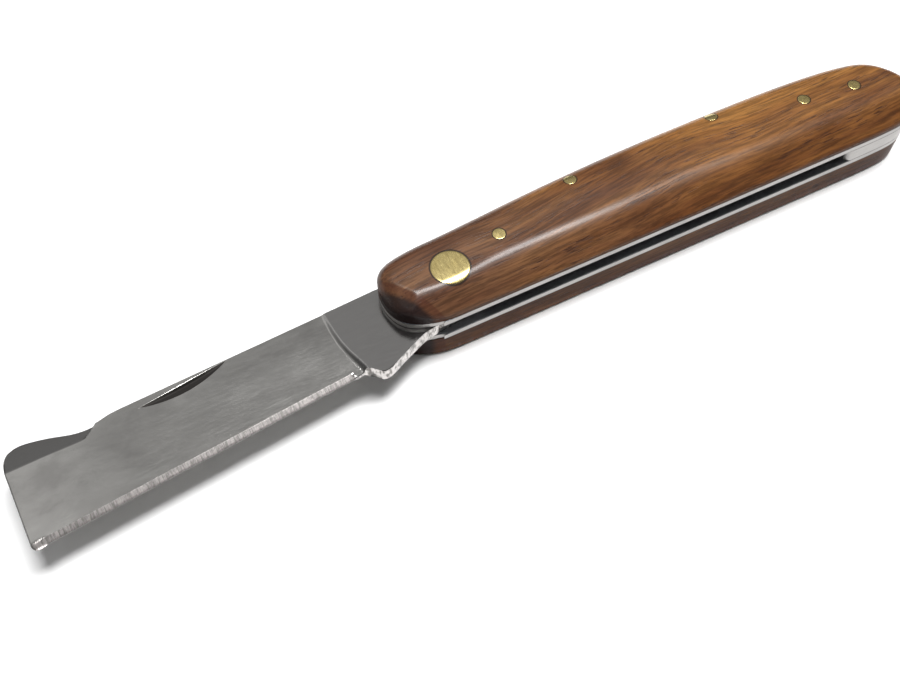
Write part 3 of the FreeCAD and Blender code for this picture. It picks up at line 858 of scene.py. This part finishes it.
verts = np.vstack([near_pts, far_pts])
faces = np.vstack([kept, kept[:, ::-1] + n, walls]).tolist()
blade = make("blade_ground", verts, faces, BLADE_STEEL, "blade", ["blade"],
             {"bevel": np.concatenate([bevel_near[used], bevel_far[used]]),
              "dark": np.concatenate([dark_near[used], dark_far[used]])}, 30)

# %% A crisp line along the top of the edge bevel
ends = np.empty(len(blade.data.edges) * 2, int)
blade.data.edges.foreach_get("vertices", ends)
on_line = np.tile(used % ROWS == BEVEL_ROW, 2)
crisp = np.empty(len(blade.data.edges), bool)
blade.data.attributes["sharp_edge"].data.foreach_get("value", crisp)
crisp |= on_line[ends.reshape(-1, 2)].all(axis=1)
blade.data.attributes["sharp_edge"].data.foreach_set("value", crisp)
blade.data.update()
print("crisp edges", int(crisp.sum()))

# %% [markdown]
# ## Studio
#
# White table and soft boxes. Where each box stands follows from the metal: a level face of the knife mirrors
# the part of the room that lies behind and above it, so that part is kept grey and the ground flat reads as
# satin steel. The key hangs almost overhead, wide along the knife, and burns the table white. A small strip
# behind it lights the ridge and the lower side of the pivot head, and two weak boxes lift the tip and the
# edge bevel.

# %% Table and lights
def placing(x_axis, y_axis, z_axis, place):
    """The matrix of an object with these three axes at this place."""
    return Matrix([[x_axis[i], y_axis[i], z_axis[i], place[i]] for i in range(3)] + [[0, 0, 0, 1]])


def table():
    material, tree = tree_of("table_white")
    speck = noise(tree, placed(tree, (1, 1, 1)), 40, 3.0, 0.5)
    colour = mix(tree, speck, (0.90, 0.90, 0.90), (0.93, 0.93, 0.93))
    finish_material(tree, **{"Base Color": colour, "Roughness": 0.7})
    mesh = bpy.data.meshes.new("table")
    s, z = 3.0, -0.0002
    mesh.from_pydata([(-s, -s, z), (s, -s, z), (s, s, z), (-s, s, z)], [], [[0, 1, 2, 3]])
    mesh.materials.append(material)
    obj = bpy.data.objects.new("table", mesh)
    bpy.context.scene.collection.objects.link(obj)


def softbox(name, lean, height, size, radiance):
    """A rectangle of even light over the knife, parallel to its axis.

    lean is how far it stands off the vertical, along and across the knife, as a share of its height.
    Its power follows from the radiance that is wanted.
    """
    light = bpy.data.lights.new(name, "AREA")
    light.shape = "RECTANGLE"
    light.size, light.size_y = size
    light.energy = math.pi * size[0] * size[1] * radiance
    obj = bpy.data.objects.new(name, light)
    bpy.context.scene.collection.objects.link(obj)
    place = Vector((lean[0] * height, lean[1] * height, height))
    back = place.normalized()
    across = back.cross(Vector((1, 0, 0))).normalized()
    obj.matrix_world = placing(across.cross(back), across, back, place)
    print(name, "at", tuple(round(c, 2) for c in place), "m,", round(light.energy, 2), "W")


table()
softbox("key_top", (0.20, 0.04), 0.80, (0.45, 0.24), 28.0)
softbox("strip_back", (0.50, 0.31), 0.75, (0.20, 0.12), 2.6)
softbox("fill_left", (-0.45, 0.45), 1.00, (0.50, 0.40), 0.3)
softbox("fill_front", (0.30, -0.30), 0.80, (0.50, 0.16), 1.0)

# %% Room
# Grey all round, lighter towards the back left and overhead.
world = bpy.data.worlds.new("room")
world.use_nodes = True
tree = world.node_tree
direction = add(tree, "ShaderNodeTexCoord").outputs["Generated"]
facing = vector_math(tree, "DOT_PRODUCT", direction, (-0.45, 0.89, 0.0), "Value")
side = ramp(tree, plus(tree, times(tree, facing, 0.5), 0.5), [(0.45, 0.12), (0.75, 0.41)])
room = mix(tree, 1.0, side, ramp(tree, part_of(tree, direction, 2), [(0.15, 0.3), (0.75, 1.0)]), "MULTIPLY")
background = tree.nodes["Background"]
tree.links.new(room, background.inputs[0])
background.inputs[1].default_value = 1.0
bpy.context.scene.world = world
print("room", world.name)

# %% Camera
# It looks down at the knife by el, and it is turned by th about the vertical.
th, el = math.radians(26.885), math.radians(59.235)
right_axis = (math.cos(th), -math.sin(th), 0)
up_axis = (math.sin(th) * math.sin(el), math.cos(th) * math.sin(el), math.cos(el))
back_axis = (-math.sin(th) * math.cos(el), -math.cos(th) * math.cos(el), math.sin(el))
eye = (-0.0411, -0.0810, 0.1418)
camera_data = bpy.data.cameras.new("camera")
camera_data.lens, camera_data.sensor_width = 40.0, 36.0
camera_data.clip_start, camera_data.clip_end = 0.005, 20.0
camera = bpy.data.objects.new("camera", camera_data)
bpy.context.scene.collection.objects.link(camera)
camera.matrix_world = placing(right_axis, up_axis, back_axis, eye)
bpy.context.scene.camera = camera
bpy.context.scene.view_settings.view_transform = "Standard"
bpy.context.scene.view_settings.exposure = 0.0
print("camera at", eye, "m,", camera_data.lens, "mm lens")
